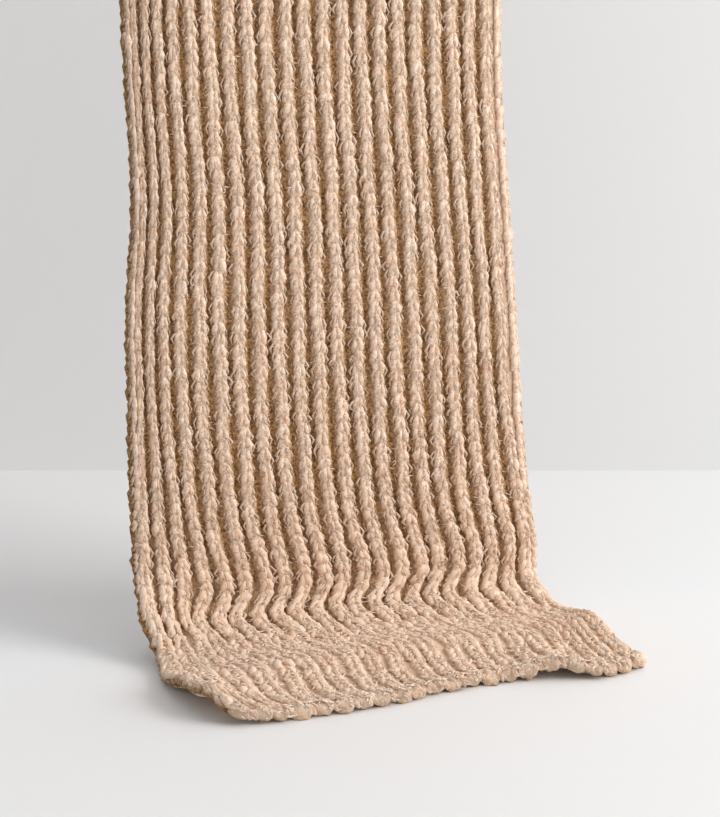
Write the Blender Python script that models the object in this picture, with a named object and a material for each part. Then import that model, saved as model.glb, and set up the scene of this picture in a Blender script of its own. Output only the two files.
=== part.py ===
"""Chunky rib-knit scarf, folded over a rail and hanging, its front end lying on the surface below.

The origin is on top of the rail, inside the fold. X runs across the scarf, +Y towards the back
stretch and +Z up. Sizes are in millimetres and become metres when a mesh is made.

The cloth is one wall of 1x1 rib knit: each rib is a crest on the front face and a valley on the
back face. It is lofted through rings, from the lying end, up the front, over the rail and down
the back. "arc" is the distance along the cloth from its front end, and "across" runs from 0 at
the left selvage to 1 at the right one.
"""

from collections import namedtuple
import math

import bmesh
import bpy
from mathutils import Vector

MM = 0.001

# How the scarf hangs
SCARF_LENGTH = 1700.0
RAIL_RADIUS = 16.0
DROP = 1020.0  # from the top of the rail down to the surface below
SEAM = 0.3  # gap between neighbouring pieces

# The knit, as depths from the middle of the cloth
RIBS = 21
CREST_DEPTH = 4.0
VALLEY_DEPTH = 0.7
SELVAGE_VALLEY_DEPTH = 2.8  # the two ribs of the left selvage lie close together
CREST_HALF = 0.28  # half of a crest's width, in rib pitches
VALLEY_HALF = 0.11
SELVAGE_SHOULDER = 0.15  # where a selvage starts to round, from its tip to the middle of its rib
SELVAGE_FRONT_DEPTH = 3.0
SELVAGE_BACK_DEPTH = 3.6

# How the ribs spread over the width: the margins from the outer ribs' middles to the selvages, and
# how much closer together the ribs stand near each selvage, over how many ribs. Margins are in rib
# pitches. Where the scarf hangs, its ribs are drawn towards the left selvage.
Spread = namedtuple("Spread", "left_margin right_margin left_crowding left_ribs right_crowding right_ribs")
LYING_SPREAD = Spread(0.34, 0.62, 0.06, 2.0, 0.08, 3.0)
HANGING_SPREAD = Spread(0.48, 1.07, 0.5, 2.9, 0.08, 1.5)
LYING_SPREAD_TO = 165.0
HANGING_SPREAD_FROM = 300.0

# The beaded edges that close the knitting at both ends
EDGE_ARC = 9.7
BEAD_RADIUS = 4.3
BEAD_SWELL = 0.6
BEAD_LEFT_END = -0.27  # the rib numbers at which a beaded edge starts and stops
BEAD_RIGHT_END = RIBS - 0.35
BEAD_SIDES = 8
BEAD_RINGS_PER_RIB = 3

# The sections of the cloth. "behind" and "height" place the middle ribs: how far behind the
# hanging plane (negative in front of it), and how far above the surface. The "edge" columns place
# the left selvage, which bends in a wider curve. "left" and "right" are the two selvages. "jog"
# shifts the ribs between them sideways where they buckle, and "curl" turns both selvages towards
# the back.
Section = namedtuple("Section", "arc behind height edge_behind edge_height left right jog curl")
SECTIONS = (
    Section(0, -156, 4, -156, 4, -113, 152, 0, 0),
    Section(16, -140, 4, -140, 4, -125, 153, 0, 0),
    Section(28, -128, 4, -128, 4, -128, 153, 0, 0),
    Section(41, -115, 4.9, -115, 4, -130, 153, 0, 0),
    Section(52, -104.3, 7.2, -104, 4, -130, 153, 0, 0),
    Section(60, -96.5, 9.6, -96, 4, -130, 153, 0, 0),
    Section(67, -89.6, 10.3, -89, 4, -129, 153, 0, 0),
    Section(78, -78.6, 9.2, -78, 4, -128, 153.5, 0.5, 0),
    Section(90, -66.7, 7.4, -66, 4, -126, 154, -1.5, 0),
    Section(102, -54.7, 6.5, -54, 4.4, -123, 154, -3.5, 0),
    Section(115, -41.7, 6.8, -41.5, 7, -121, 154, -3.5, 0),
    Section(126, -31, 8.4, -32.2, 12.2, -120, 154, -3.5, 0),
    Section(134, -23.2, 10.5, -25.8, 17.2, -121, 154, -6, 0),
    Section(146, -11.5, 13.2, -17.1, 25.5, -122, 154, -9, 0),
    Section(154, -4.8, 17.4, -11.8, 31.4, -122, 154, -7.5, 0),
    Section(161, -0.9, 23.4, -7.7, 37.2, -122, 154, -1.5, 0),
    Section(169, 0.3, 31.8, -4, 44.3, -122, 155, 2, 0),
    Section(183, 0, 46, -0.7, 58, -122, 155.5, 0.5, 1),
    Section(197, 0, 60, 0, 72, -122, 153.5, -1.5, 2),
    Section(220, 0, 83, 0, 94.5, -122, 150, -2.3, 3),
    Section(278, 0, 141, 0, 150.5, -123, 144.5, 2.2, 4),
    Section(344, 0, 207, 0, 215, -123, 140, 2.5, 5),
    Section(409, 0, 272, 0, 278.5, -118, 135, 0.2, 6),
    Section(473, 0, 336, 0, 341.5, -120, 130, -0.5, 7),
    Section(535, 0, 398, 0, 402.5, -122, 128, -1, 7),
    Section(620, 0, 483, 0, 486.5, -121, 127, -0.5, 4),
    Section(720, 0, 583, 0, 585.5, -121, 126, 0, 0),
    Section(920, 0, 783, 0, 784, -122, 125, 0, 0),
    Section(1141, 0, 1004, 0, 1004, -124, 124, 0, 0),
)
EDGE_BLEND = 0.22  # share of the width over which a selvage's curve becomes the middle's
CURL_POWER = 6

# The back stretch: its selvages from the rail down to its free end
BackSection = namedtuple("BackSection", "arc left right")
BACK_SECTIONS = (
    BackSection(1141, -124, 124),
    BackSection(1300, -123, 123),
    BackSection(1450, -124, 125),
    BackSection(1600, -128, 127),
    BackSection(1700, -132, 131),
)

# The line of the front edge: its distance in front of the hanging plane
FrontEdge = namedtuple("FrontEdge", "across reach")
FRONT_EDGE = (
    FrontEdge(0.0, 160),
    FrontEdge(0.10, 164),
    FrontEdge(0.37, 160),
    FrontEdge(0.56, 150),
    FrontEdge(0.69, 149),
    FrontEdge(0.78, 156),
    FrontEdge(0.88, 164),
    FrontEdge(1.0, 155),
)
REACH_FADE = 110.0  # arc over which the uneven front edge evens out

# Where the lying end lifts off the surface
Lift = namedtuple("Lift", "arc across arc_spread across_spread height")
LIFTS = (
    Lift(17, 0.0, 8, 0.05, 8.5),
    Lift(42, 0.0, 20, 0.06, 11),
    Lift(0, 0.78, 26, 0.045, 6.5),
    Lift(58, 1.0, 28, 0.08, 5.5),
)
LEAST_LIFT = 0.5

# The plain underside of the lying end turns into ribs over this stretch
UNDERSIDE_PLAIN_TO = 72.0
UNDERSIDE_RIBBED_FROM = 150.0

FOLD_RADIUS = RAIL_RADIUS + CREST_DEPTH
FOLD_START = SECTIONS[-1].arc
FOLD_END = FOLD_START + math.pi * FOLD_RADIUS
BEND_START = 70.0  # arcs between which the cloth slumps forward onto the surface
BEND_END = 212.0

# Each piece of the wall: where it runs, and how many rings of quads it has
Stretch = namedtuple("Stretch", "name start end segments colour")
STRETCHES = (
    Stretch("lying_end", EDGE_ARC, BEND_START, 5, (0.62, 0.47, 0.34)),
    Stretch("slumped_bend", BEND_START, BEND_END, 14, (0.61, 0.46, 0.33)),
    Stretch("front_hang", BEND_END, FOLD_START, 9, (0.60, 0.45, 0.32)),
    Stretch("rail_fold", FOLD_START, FOLD_END, 7, (0.61, 0.46, 0.33)),
    Stretch("back_hang", FOLD_END, SCARF_LENGTH - EDGE_ARC, 4, (0.59, 0.44, 0.31)),
)
BEAD_COLOUR = (0.64, 0.50, 0.37)
WOOL_ROUGHNESS = 0.95
TINY_STEP = 0.05  # arc step for reading the cloth's direction


def mix(low, high, share):
    """The value at this share of the way from low to high."""
    return low + (high - low) * share


def smooth(share):
    """A share from 0 to 1 with soft ends."""
    share = min(max(share, 0.0), 1.0)
    return share * share * (3.0 - 2.0 * share)


def slope(rows, index, column):
    """A column's rise per unit of the rows' first column, at one row."""
    before = rows[max(index - 1, 0)]
    after = rows[min(index + 1, len(rows) - 1)]
    return (getattr(after, column) - getattr(before, column)) / (after[0] - before[0])


def read(rows, place, column):
    """A column's value at a place along the table, on a smooth curve through its rows."""
    place = min(max(place, rows[0][0]), rows[-1][0])
    index = 0
    while index < len(rows) - 2 and place > rows[index + 1][0]:
        index += 1
    low, high = rows[index], rows[index + 1]
    span = high[0] - low[0]
    share = (place - low[0]) / span
    rise = getattr(high, column) - getattr(low, column)
    low_slope = slope(rows, index, column) * span
    high_slope = slope(rows, index + 1, column) * span
    bend = share * (1.0 - share) * ((low_slope - rise) * (1.0 - share) + (rise - high_slope) * share)
    return getattr(low, column) + rise * share + bend


def rib_spacing(spread, rib):
    """The width of one rib, in rib pitches: less near the selvages."""
    left = spread.left_crowding * math.exp(-((rib / spread.left_ribs) ** 2))
    right = spread.right_crowding * math.exp(-(((RIBS - 1 - rib) / spread.right_ribs) ** 2))
    return 1.0 - left - right


def rib_places(spread):
    """The middles of the ribs, as shares of the cloth's width."""
    places = [spread.left_margin]
    for gap in range(RIBS - 1):
        places.append(places[-1] + rib_spacing(spread, gap + 0.5))
    width = places[-1] + spread.right_margin
    return [place / width for place in places]


LYING_PLACES = rib_places(LYING_SPREAD)
HANGING_PLACES = rib_places(HANGING_SPREAD)


def across_at(arc, rib):
    """The share of the width at a rib number, which may lie between or beyond the ribs."""
    index = min(max(int(math.floor(rib)), 0), RIBS - 2)
    lying = mix(LYING_PLACES[index], LYING_PLACES[index + 1], rib - index)
    hanging = mix(HANGING_PLACES[index], HANGING_PLACES[index + 1], rib - index)
    return mix(lying, hanging, smooth((arc - LYING_SPREAD_TO) / (HANGING_SPREAD_FROM - LYING_SPREAD_TO)))


def lift_at(arc, across):
    """How far the cloth is lifted off the surface."""
    total = 0.0
    for lift in LIFTS:
        along = (arc - lift.arc) / lift.arc_spread
        aside = (across - lift.across) / lift.across_spread
        total += lift.height * math.exp(-(along * along + aside * aside) / 2.0)
    return max(total - LEAST_LIFT, 0.0)


def fold_point(arc):
    """(Y, Z) over the rail and down the back stretch."""
    turn = (arc - FOLD_START) / FOLD_RADIUS
    if turn <= math.pi:
        return -FOLD_RADIUS * math.cos(turn), FOLD_RADIUS * math.sin(turn) - RAIL_RADIUS
    return FOLD_RADIUS, FOLD_END - arc - RAIL_RADIUS


def front_point(arc, across):
    """(Y, Z) along the lying end, the bend and the front stretch."""
    edge = 1.0 - smooth(across / EDGE_BLEND)
    behind = mix(read(SECTIONS, arc, "behind"), read(SECTIONS, arc, "edge_behind"), edge)
    height = mix(read(SECTIONS, arc, "height"), read(SECTIONS, arc, "edge_height"), edge)
    height = max(height, CREST_DEPTH)
    uneven = -SECTIONS[0].behind - read(FRONT_EDGE, across, "reach")
    behind += uneven * (1.0 - smooth(arc / REACH_FADE))
    return behind - FOLD_RADIUS, height + lift_at(arc, across) - DROP


def middle_point(arc, across):
    """(Y, Z) of the middle of the cloth's thickness."""
    return fold_point(arc) if arc > FOLD_START else front_point(arc, across)


def sideways(arc, across):
    """X at this place on the cloth."""
    rows = BACK_SECTIONS if arc > FOLD_START else SECTIONS
    place = mix(read(rows, arc, "left"), read(rows, arc, "right"), across)
    if arc > FOLD_START:
        return place
    inner = smooth(across / EDGE_BLEND) * smooth((1.0 - across) / EDGE_BLEND)
    return place + read(SECTIONS, arc, "jog") * inner


def on_cloth(arc, across, depth):
    """A point at a depth from the middle of the cloth, positive towards its front face."""
    before = middle_point(arc - TINY_STEP, across)
    after = middle_point(arc + TINY_STEP, across)
    along = Vector((0.0, after[0] - before[0], after[1] - before[1])).normalized()
    outward = Vector((0.0, -along.z, along.y))
    y, z = middle_point(arc, across)
    curl = read(SECTIONS, arc, "curl") if arc < FOLD_START else 0.0
    turned = depth - curl * abs(2.0 * across - 1.0) ** CURL_POWER
    return Vector((sideways(arc, across), y, z)) + outward * turned


def front_face(arc):
    """(across, depth) of a ring's points on the front face, from the left selvage to the right."""
    points = []
    for rib in range(RIBS):
        points.append((across_at(arc, rib - CREST_HALF), CREST_DEPTH))
        points.append((across_at(arc, rib + CREST_HALF), CREST_DEPTH))
        if rib == RIBS - 1:
            break
        valley = SELVAGE_VALLEY_DEPTH if rib == 0 else VALLEY_DEPTH
        points.append((across_at(arc, rib + 0.5 - VALLEY_HALF), valley))
        points.append((across_at(arc, rib + 0.5 + VALLEY_HALF), valley))
    return points


def back_face(arc):
    """(across, depth) of a ring's points on the back face, from the left selvage to the right."""
    relief = smooth((arc - UNDERSIDE_PLAIN_TO) / (UNDERSIDE_RIBBED_FROM - UNDERSIDE_PLAIN_TO))
    valley = -mix(CREST_DEPTH, VALLEY_DEPTH, relief)
    points = []
    for rib in range(RIBS):
        points.append((across_at(arc, rib - VALLEY_HALF), valley))
        points.append((across_at(arc, rib + VALLEY_HALF), valley))
        if rib == RIBS - 1:
            break
        points.append((across_at(arc, rib + 0.5 - CREST_HALF), -CREST_DEPTH))
        points.append((across_at(arc, rib + 0.5 + CREST_HALF), -CREST_DEPTH))
    return points


def selvage(arc, side):
    """(across, depth) round a selvage, from its front to its back: side is 0 at left, 1 at right."""
    rib = across_at(arc, 0.0 if side == 0 else RIBS - 1.0)
    shoulder = mix(side, rib, SELVAGE_SHOULDER)
    return [(shoulder, SELVAGE_FRONT_DEPTH), (float(side), 0.0), (shoulder, -SELVAGE_BACK_DEPTH)]


def ring(arc):
    """The points round the cloth at one arc: front face, right selvage, back face, left selvage."""
    outline = front_face(arc) + selvage(arc, 1) + back_face(arc)[::-1] + selvage(arc, 0)[::-1]
    return [on_cloth(arc, across, depth) for across, depth in outline]


def close_end(mesh, points, outward):
    """Close one end of the wall with a strip of quads between its front and back faces.

    The points pair up across the wall, from the front shoulder of one selvage to the other's.
    """
    middle = len(points) // 2
    strip = [(points[index], points[-2 - index]) for index in range(-1, middle)]
    for (front_a, back_a), (front_b, back_b) in zip(strip, strip[1:]):
        corners = []
        for corner in (front_a, front_b, back_b, back_a):
            if corner not in corners:
                corners.append(corner)
        if len(corners) > 2:
            mesh.faces.new(corners if outward else corners[::-1])


def loft(rings):
    """A closed wall through rings that all have the same number of points."""
    mesh = bmesh.new()
    loops = [[mesh.verts.new(point * MM) for point in points] for points in rings]
    count = len(loops[0])
    for low, high in zip(loops, loops[1:]):
        for index in range(count):
            beside = (index + 1) % count
            mesh.faces.new((low[index], low[beside], high[beside], high[index]))
    return mesh, loops


def wool(name, colour):
    """A matt wool material."""
    material = bpy.data.materials.new(name)
    material.use_nodes = True
    shader = material.node_tree.nodes["Principled BSDF"]
    shader.inputs["Base Color"].default_value = (*colour, 1.0)
    shader.inputs["Roughness"].default_value = WOOL_ROUGHNESS
    shader.inputs["Metallic"].default_value = 0.0
    return material


def add_piece(name, mesh, colour):
    """Turn a bmesh into a named object with its own material."""
    bmesh.ops.recalc_face_normals(mesh, faces=mesh.faces)
    data = bpy.data.meshes.new(name)
    mesh.to_mesh(data)
    mesh.free()
    data.materials.append(wool(name + "_wool", colour))
    bpy.context.scene.collection.objects.link(bpy.data.objects.new(name, data))


def add_stretch(stretch):
    """One stretch of the wall, a seam's gap short of its neighbours."""
    start = stretch.start + SEAM / 2.0
    end = stretch.end - SEAM / 2.0
    arcs = [mix(start, end, step / stretch.segments) for step in range(stretch.segments + 1)]
    mesh, loops = loft([ring(arc) for arc in arcs])
    close_end(mesh, loops[0], False)
    close_end(mesh, loops[-1], True)
    add_piece(stretch.name, mesh, stretch.colour)


def bead_ring(rib, arc, rests):
    """A ring of a beaded edge at one rib number, flat underneath where the edge rests."""
    across = across_at(arc, rib)
    radius = BEAD_RADIUS + BEAD_SWELL * math.cos(2.0 * math.pi * rib)
    points = []
    for side in range(BEAD_SIDES):
        turn = 2.0 * math.pi * (side + 0.5) / BEAD_SIDES
        along = radius * math.cos(turn)
        point = on_cloth(arc + along, across, radius * math.sin(turn))
        if rests:
            point.z = max(point.z, lift_at(arc, across) - DROP)
        points.append(point)
    return points


def add_beaded_edge(name, arc, rests):
    """A beaded edge across the scarf, with one bead on each rib."""
    steps = round((BEAD_RIGHT_END - BEAD_LEFT_END) * BEAD_RINGS_PER_RIB)
    ribs = [mix(BEAD_LEFT_END, BEAD_RIGHT_END, step / steps) for step in range(steps + 1)]
    mesh, loops = loft([bead_ring(rib, arc, rests) for rib in ribs])
    mesh.faces.new(loops[0])
    mesh.faces.new(loops[-1])
    add_piece(name, mesh, BEAD_COLOUR)


def clear_scene():
    """Remove whatever the scene holds."""
    for item in list(bpy.data.objects):
        bpy.data.objects.remove(item)


def main():
    """Build the scarf."""
    clear_scene()
    for stretch in STRETCHES:
        add_stretch(stretch)
    bead_reach = BEAD_RADIUS + BEAD_SWELL
    inset = EDGE_ARC - SEAM - bead_reach
    add_beaded_edge("front_beaded_edge", inset, True)
    add_beaded_edge("back_beaded_edge", SCARF_LENGTH - inset, False)


main()
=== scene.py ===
"""The looks of a chunky rib-knit wool scarf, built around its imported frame.

The cloth is followed by three numbers: "arc", the distance in millimetres along it from its lying
end, "rib", a place across it where the ribs of the outer face are whole numbers, and "depth",
how far out from the middle of its thickness a point lies, positive towards the outer face.
"""

import logging
import math
from dataclasses import dataclass
from enum import Enum
from typing import Any, Sequence

import bpy
import numpy as np
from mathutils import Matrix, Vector


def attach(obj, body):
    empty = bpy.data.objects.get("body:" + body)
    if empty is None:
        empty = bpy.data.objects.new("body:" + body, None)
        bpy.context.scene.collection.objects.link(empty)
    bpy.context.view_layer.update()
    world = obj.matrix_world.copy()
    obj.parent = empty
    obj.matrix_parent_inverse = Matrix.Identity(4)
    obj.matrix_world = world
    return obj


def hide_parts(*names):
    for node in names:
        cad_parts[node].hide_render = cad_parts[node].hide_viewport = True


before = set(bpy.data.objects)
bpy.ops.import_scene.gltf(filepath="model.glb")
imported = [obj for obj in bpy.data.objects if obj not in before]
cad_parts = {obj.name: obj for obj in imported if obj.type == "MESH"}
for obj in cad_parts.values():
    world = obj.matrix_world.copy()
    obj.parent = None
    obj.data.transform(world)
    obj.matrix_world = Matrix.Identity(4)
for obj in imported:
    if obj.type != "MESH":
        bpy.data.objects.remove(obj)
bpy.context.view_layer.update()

MM = 0.001
BODY = "root"
LOG = logging.getLogger("knit_scarf")
TINY = 0.01
FLAT_BACK = 0.35  # how far a buried flat back lies under the yarn's middle, in radii
LONGEST_YARN = 500.0  # how far along its yarn a strand may start, in millimetres
TONE_UNEVEN = 0.5  # how much the tone of one strand differs from another's
Colour = tuple[float, float, float]
Spot = tuple[float, float, float]
Numbers = np.ndarray | float


class Face(Enum):
    """The two faces of the cloth: the outer one is at the front, and on top over the rail."""

    OUTER = 1.0
    INNER = -1.0


class Slot(Enum):
    """The record's material slots."""

    RIBS = "wool_rib_knit"
    EDGE = "wool_edge"


# --------------------------------------------------------------------------- the cloth's form


class Table:
    """Rows of numbers along one direction, read on a smooth curve through them."""

    def __init__(self, columns: str, rows: Sequence[Sequence[float]]) -> None:
        """Keep the rows and work out each column's slope at each row.

        Args:
            columns: The columns' names. The first one is the place along the table.
            rows: The numbers, a row for each place.
        """
        self.columns = columns.split()
        self.rows = np.array(rows, float)
        last = len(rows) - 1
        before = np.maximum(np.arange(len(rows)) - 1, 0)
        after = np.minimum(np.arange(len(rows)) + 1, last)
        run = self.rows[after, :1] - self.rows[before, :1]
        self.slopes = (self.rows[after] - self.rows[before]) / run

    def read(self, column: str, place: Numbers) -> np.ndarray:
        """A column's values at these places.

        Args:
            column: The column's name.
            place: Places along the table; those beyond an end take the end's value.

        Returns:
            One value for each place.
        """
        number = self.columns.index(column)
        places, values = self.rows[:, 0], self.rows[:, number]
        place = np.clip(place, places[0], places[-1])
        low = np.clip(np.searchsorted(places, place) - 1, 0, len(places) - 2)
        span = places[low + 1] - places[low]
        share = (place - places[low]) / span
        rise = values[low + 1] - values[low]
        low_slope = self.slopes[low, number] * span
        high_slope = self.slopes[low + 1, number] * span
        bend = (low_slope - rise) * (1.0 - share) + (rise - high_slope) * share
        return values[low] + rise * share + share * (1.0 - share) * bend


def smooth(share: np.ndarray) -> np.ndarray:
    """Shares from 0 to 1 with soft ends."""
    share = np.clip(share, 0.0, 1.0)
    return share * share * (3.0 - 2.0 * share)


def every(arcs: np.ndarray, places: np.ndarray) -> list[np.ndarray]:
    """Each arc with each place across the cloth, as two long arrays."""
    return [grid.ravel() for grid in np.meshgrid(arcs, places, indexing="ij")]


def spots(arc: Numbers, rib: Numbers, depth: Numbers) -> np.ndarray:
    """Points on the cloth, a row (arc, rib, depth) for each."""
    return np.stack((arc, rib, depth), axis=-1)


SECTIONS = Table(
    "arc behind height edge_behind edge_height left right jog curl",
    (
        (0, -156, 4, -156, 4, -113, 152, 0, 0),
        (16, -140, 4, -140, 4, -125, 153, 3, 0),
        (28, -128, 4, -128, 4, -128, 153, 5.5, 0),
        (41, -115, 4.9, -115, 4, -130, 153, 8, 0),
        (52, -104.3, 7.2, -104, 4, -130, 153, 9.5, 0),
        (60, -96.5, 9.6, -96, 4, -130, 153, 9.5, 0),
        (67, -89.6, 10.3, -89, 4, -129, 153, 8, 0),
        (78, -78.6, 9.2, -78, 4, -128, 153.5, 4.5, 0),
        (90, -66.7, 7.4, -66, 4, -126, 154, 0.5, 0),
        (102, -54.7, 6.5, -54, 4.4, -123, 154, -3, 0),
        (115, -41.7, 6.8, -41.5, 7, -121, 154, -4.5, 0),
        (126, -31, 8.4, -32.2, 12.2, -120, 154, -5, 0),
        (134, -23.2, 10.5, -25.8, 17.2, -121, 154, -6, 0),
        (146, -11.5, 13.2, -17.1, 25.5, -122, 154, -7.2, 0),
        (154, -4.8, 17.4, -11.8, 31.4, -122, 154, -5.6, 0),
        (161, -0.9, 23.4, -7.7, 37.2, -122, 154, -1, 0),
        (169, 0.3, 31.8, -4, 44.3, -122, 155, 2, 0),
        (183, 0, 46, -0.7, 58, -122, 155.5, 0.5, 1),
        (197, 0, 60, 0, 72, -122, 153.5, -1.5, 2),
        (220, 0, 83, 0, 94.5, -122, 150, -2.3, 3),
        (278, 0, 141, 0, 150.5, -123, 144.5, 2.2, 4),
        (344, 0, 207, 0, 215, -123, 140, 2.5, 5),
        (409, 0, 272, 0, 278.5, -118, 135, 0.2, 6),
        (473, 0, 336, 0, 341.5, -120, 130, -0.5, 7),
        (535, 0, 398, 0, 402.5, -122, 128, -1, 7),
        (620, 0, 483, 0, 486.5, -121, 127, -0.5, 4),
        (720, 0, 583, 0, 585.5, -121, 126, 0, 0),
        (920, 0, 783, 0, 784, -122, 125, 0, 0),
        (1141, 0, 1004, 0, 1004, -124, 124, 0, 0),
    ),
)
BACK_SECTIONS = Table(
    "arc left right",
    ((1141, -124, 124), (1300, -123, 123), (1450, -124, 125), (1600, -128, 127), (1700, -132, 131)),
)
FRONT_EDGE = Table(
    "across reach",
    (
        (0.0, 160),
        (0.10, 164),
        (0.37, 160),
        (0.56, 150),
        (0.69, 149),
        (0.78, 156),
        (0.88, 164),
        (1.0, 155),
    ),
)
# Where the lying end lifts off the surface: arc, across, spread along, spread across, height
LIFTS = (
    (17, 0.0, 8, 0.05, 8.5),
    (42, 0.0, 20, 0.06, 11),
    (0, 0.78, 26, 0.045, 6.5),
    (58, 1.0, 28, 0.08, 5.5),
)


@dataclass(frozen=True)
class Spread:
    """How the ribs spread over the width, in rib pitches.

    The margins run from the outer ribs' middles to the selvages. Near each selvage the ribs stand
    closer together by "crowding", over about so many ribs.
    """

    left_margin: float
    right_margin: float
    left_crowding: float
    left_ribs: float
    right_crowding: float
    right_ribs: float

    def places(self, ribs: int) -> np.ndarray:
        """Where the ribs' middles lie.

        Args:
            ribs: How many ribs there are.

        Returns:
            A share of the cloth's width for each.
        """
        gaps = np.arange(ribs - 1) + 0.5
        left = self.left_crowding * np.exp(-((gaps / self.left_ribs) ** 2))
        right = self.right_crowding * np.exp(-(((ribs - 1 - gaps) / self.right_ribs) ** 2))
        places = self.left_margin + np.concatenate(([0.0], np.cumsum(1.0 - left - right)))
        return places / (places[-1] + self.right_margin)


@dataclass(frozen=True)
class ClothForm:
    """The way the cloth hangs, folds and lies, in millimetres."""

    length: float = 1700.0
    rail_radius: float = 16.0
    drop: float = 1020.0
    ribs: int = 21
    crest: float = 4.0
    edge_blend: float = 0.22
    reach_fade: float = 110.0
    least_lift: float = 0.5
    curl_power: int = 6
    curl_to: float = 1.05
    tiny_step: float = 0.05
    lying_spread: Spread = Spread(0.34, 0.62, 0.06, 2.0, 0.08, 3.0)
    hanging_spread: Spread = Spread(0.48, 1.07, 0.5, 2.9, 0.08, 1.5)
    lying_spread_to: float = 165.0
    hanging_spread_from: float = 300.0

    @property
    def fold_radius(self) -> float:
        """The radius of the middle of the cloth over the rail."""
        return self.rail_radius + self.crest

    @property
    def fold_start(self) -> float:
        """The arc at which the front stretch meets the fold."""
        return float(SECTIONS.rows[-1, 0])

    @property
    def fold_end(self) -> float:
        """The arc at which the fold meets the back stretch."""
        return self.fold_start + math.pi * self.fold_radius

    def across_at(self, arc: np.ndarray, rib: np.ndarray) -> np.ndarray:
        """The shares of the width at these rib numbers, held between the selvages.

        Args:
            arc: Distances along the cloth.
            rib: Rib numbers, between and beyond the ribs too.

        Returns:
            The shares, from 0 at the left selvage to 1 at the right one.
        """
        low = np.clip(np.floor(rib).astype(int), 0, self.ribs - 2)
        run = self.hanging_spread_from - self.lying_spread_to
        hanging = smooth((arc - self.lying_spread_to) / run)
        shares = []
        for spread in (self.lying_spread, self.hanging_spread):
            places = spread.places(self.ribs)
            shares.append(places[low] + (places[low + 1] - places[low]) * (rib - low))
        return shares[0] + (shares[1] - shares[0]) * hanging

    def lift_at(self, arc: np.ndarray, across: np.ndarray) -> np.ndarray:
        """How far the cloth is lifted off the surface.

        Args:
            arc: Distances along the cloth.
            across: Shares of its width.

        Returns:
            The heights added.
        """
        total = np.zeros(np.shape(arc))
        for lift_arc, lift_across, arc_spread, across_spread, height in LIFTS:
            along = (arc - lift_arc) / arc_spread
            aside = (across - lift_across) / across_spread
            total = total + height * np.exp(-(along**2 + aside**2) / 2.0)
        return np.maximum(total - self.least_lift, 0.0)

    def middle(self, arc: np.ndarray, across: np.ndarray) -> tuple[np.ndarray, np.ndarray]:
        """Y and Z of the middle of the cloth's thickness.

        Args:
            arc: Distances along the cloth.
            across: Shares of its width.

        Returns:
            The two coordinates, an array each.
        """
        edge = 1.0 - smooth(across / self.edge_blend)
        behind = SECTIONS.read("behind", arc)
        behind = behind + (SECTIONS.read("edge_behind", arc) - behind) * edge
        height = SECTIONS.read("height", arc)
        height = height + (SECTIONS.read("edge_height", arc) - height) * edge
        height = np.maximum(height, self.crest)
        uneven = -SECTIONS.rows[0, 1] - FRONT_EDGE.read("reach", across)
        behind = behind + np.minimum(arc, 0.0)
        front_y = behind + uneven * (1.0 - smooth(arc / self.reach_fade)) - self.fold_radius
        front_z = height + self.lift_at(arc, across) - self.drop
        turn = np.clip((arc - self.fold_start) / self.fold_radius, 0.0, math.pi)
        past = np.maximum(arc - self.fold_end, 0.0)
        over_y = -self.fold_radius * np.cos(turn)
        over_z = self.fold_radius * np.sin(turn) - self.rail_radius - past
        over = arc > self.fold_start
        return np.where(over, over_y, front_y), np.where(over, over_z, front_z)

    def sideways(self, arc: np.ndarray, across: np.ndarray) -> np.ndarray:
        """X at these places on the cloth.

        Args:
            arc: Distances along the cloth.
            across: Shares of its width.

        Returns:
            The coordinates.
        """
        over = arc > self.fold_start
        left = np.where(over, BACK_SECTIONS.read("left", arc), SECTIONS.read("left", arc))
        right = np.where(over, BACK_SECTIONS.read("right", arc), SECTIONS.read("right", arc))
        inner = smooth(across / self.edge_blend) * smooth((1.0 - across) / self.edge_blend)
        jog = SECTIONS.read("jog", arc) * inner
        return left + (right - left) * across + np.where(over, 0.0, jog)

    def width(self, arc: np.ndarray) -> np.ndarray:
        """The cloth's width from selvage to selvage."""
        return self.sideways(arc, np.ones(np.shape(arc))) - self.sideways(arc, np.zeros(np.shape(arc)))

    def pitch(self, arc: np.ndarray) -> np.ndarray:
        """The distance from one rib to the next, in the middle of the cloth."""
        ends = [self.across_at(arc, np.full(np.shape(arc), rib)) for rib in (0.0, self.ribs - 1.0)]
        return self.width(arc) * (ends[1] - ends[0]) / (self.ribs - 1)

    def place(self, arc: np.ndarray, rib: np.ndarray, depth: np.ndarray) -> np.ndarray:
        """Points in the row frame, in metres, from their arcs, rib numbers and depths."""
        return self.place_across(arc, self.across_at(arc, rib), depth)

    def place_across(self, arc: np.ndarray, across: np.ndarray, depth: np.ndarray) -> np.ndarray:
        """Points in the row frame, in metres.

        Args:
            arc: Distances along the cloth from its lying end.
            across: Shares of its width.
            depth: Distances out from the middle of the cloth.

        Returns:
            An array with a row (X, Y, Z) for each point.
        """
        y_before, z_before = self.middle(arc - self.tiny_step, across)
        y_after, z_after = self.middle(arc + self.tiny_step, across)
        along_y, along_z = y_after - y_before, z_after - z_before
        size = np.hypot(along_y, along_z)
        y, z = self.middle(arc, across)
        curl = np.where(arc < self.fold_start, SECTIONS.read("curl", arc), 0.0)
        beside = np.minimum(np.abs(2.0 * across - 1.0), self.curl_to)
        turned = depth - curl * beside**self.curl_power
        y = y - along_z / size * turned
        z = np.maximum(z + along_y / size * turned, -self.drop)
        return np.stack((self.sideways(arc, across), y, z), axis=-1) * MM


FORM = ClothForm()


@dataclass(frozen=True)
class Stretch:
    """One piece of the cloth: its node's name, and the arcs between which it runs."""

    name: str
    start: float
    end: float
    ribbed_back: bool = True

    def holds(self, arc: np.ndarray) -> np.ndarray:
        """Whether these arcs lie on the stretch."""
        return (arc >= self.start) & (arc < self.end)


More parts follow.
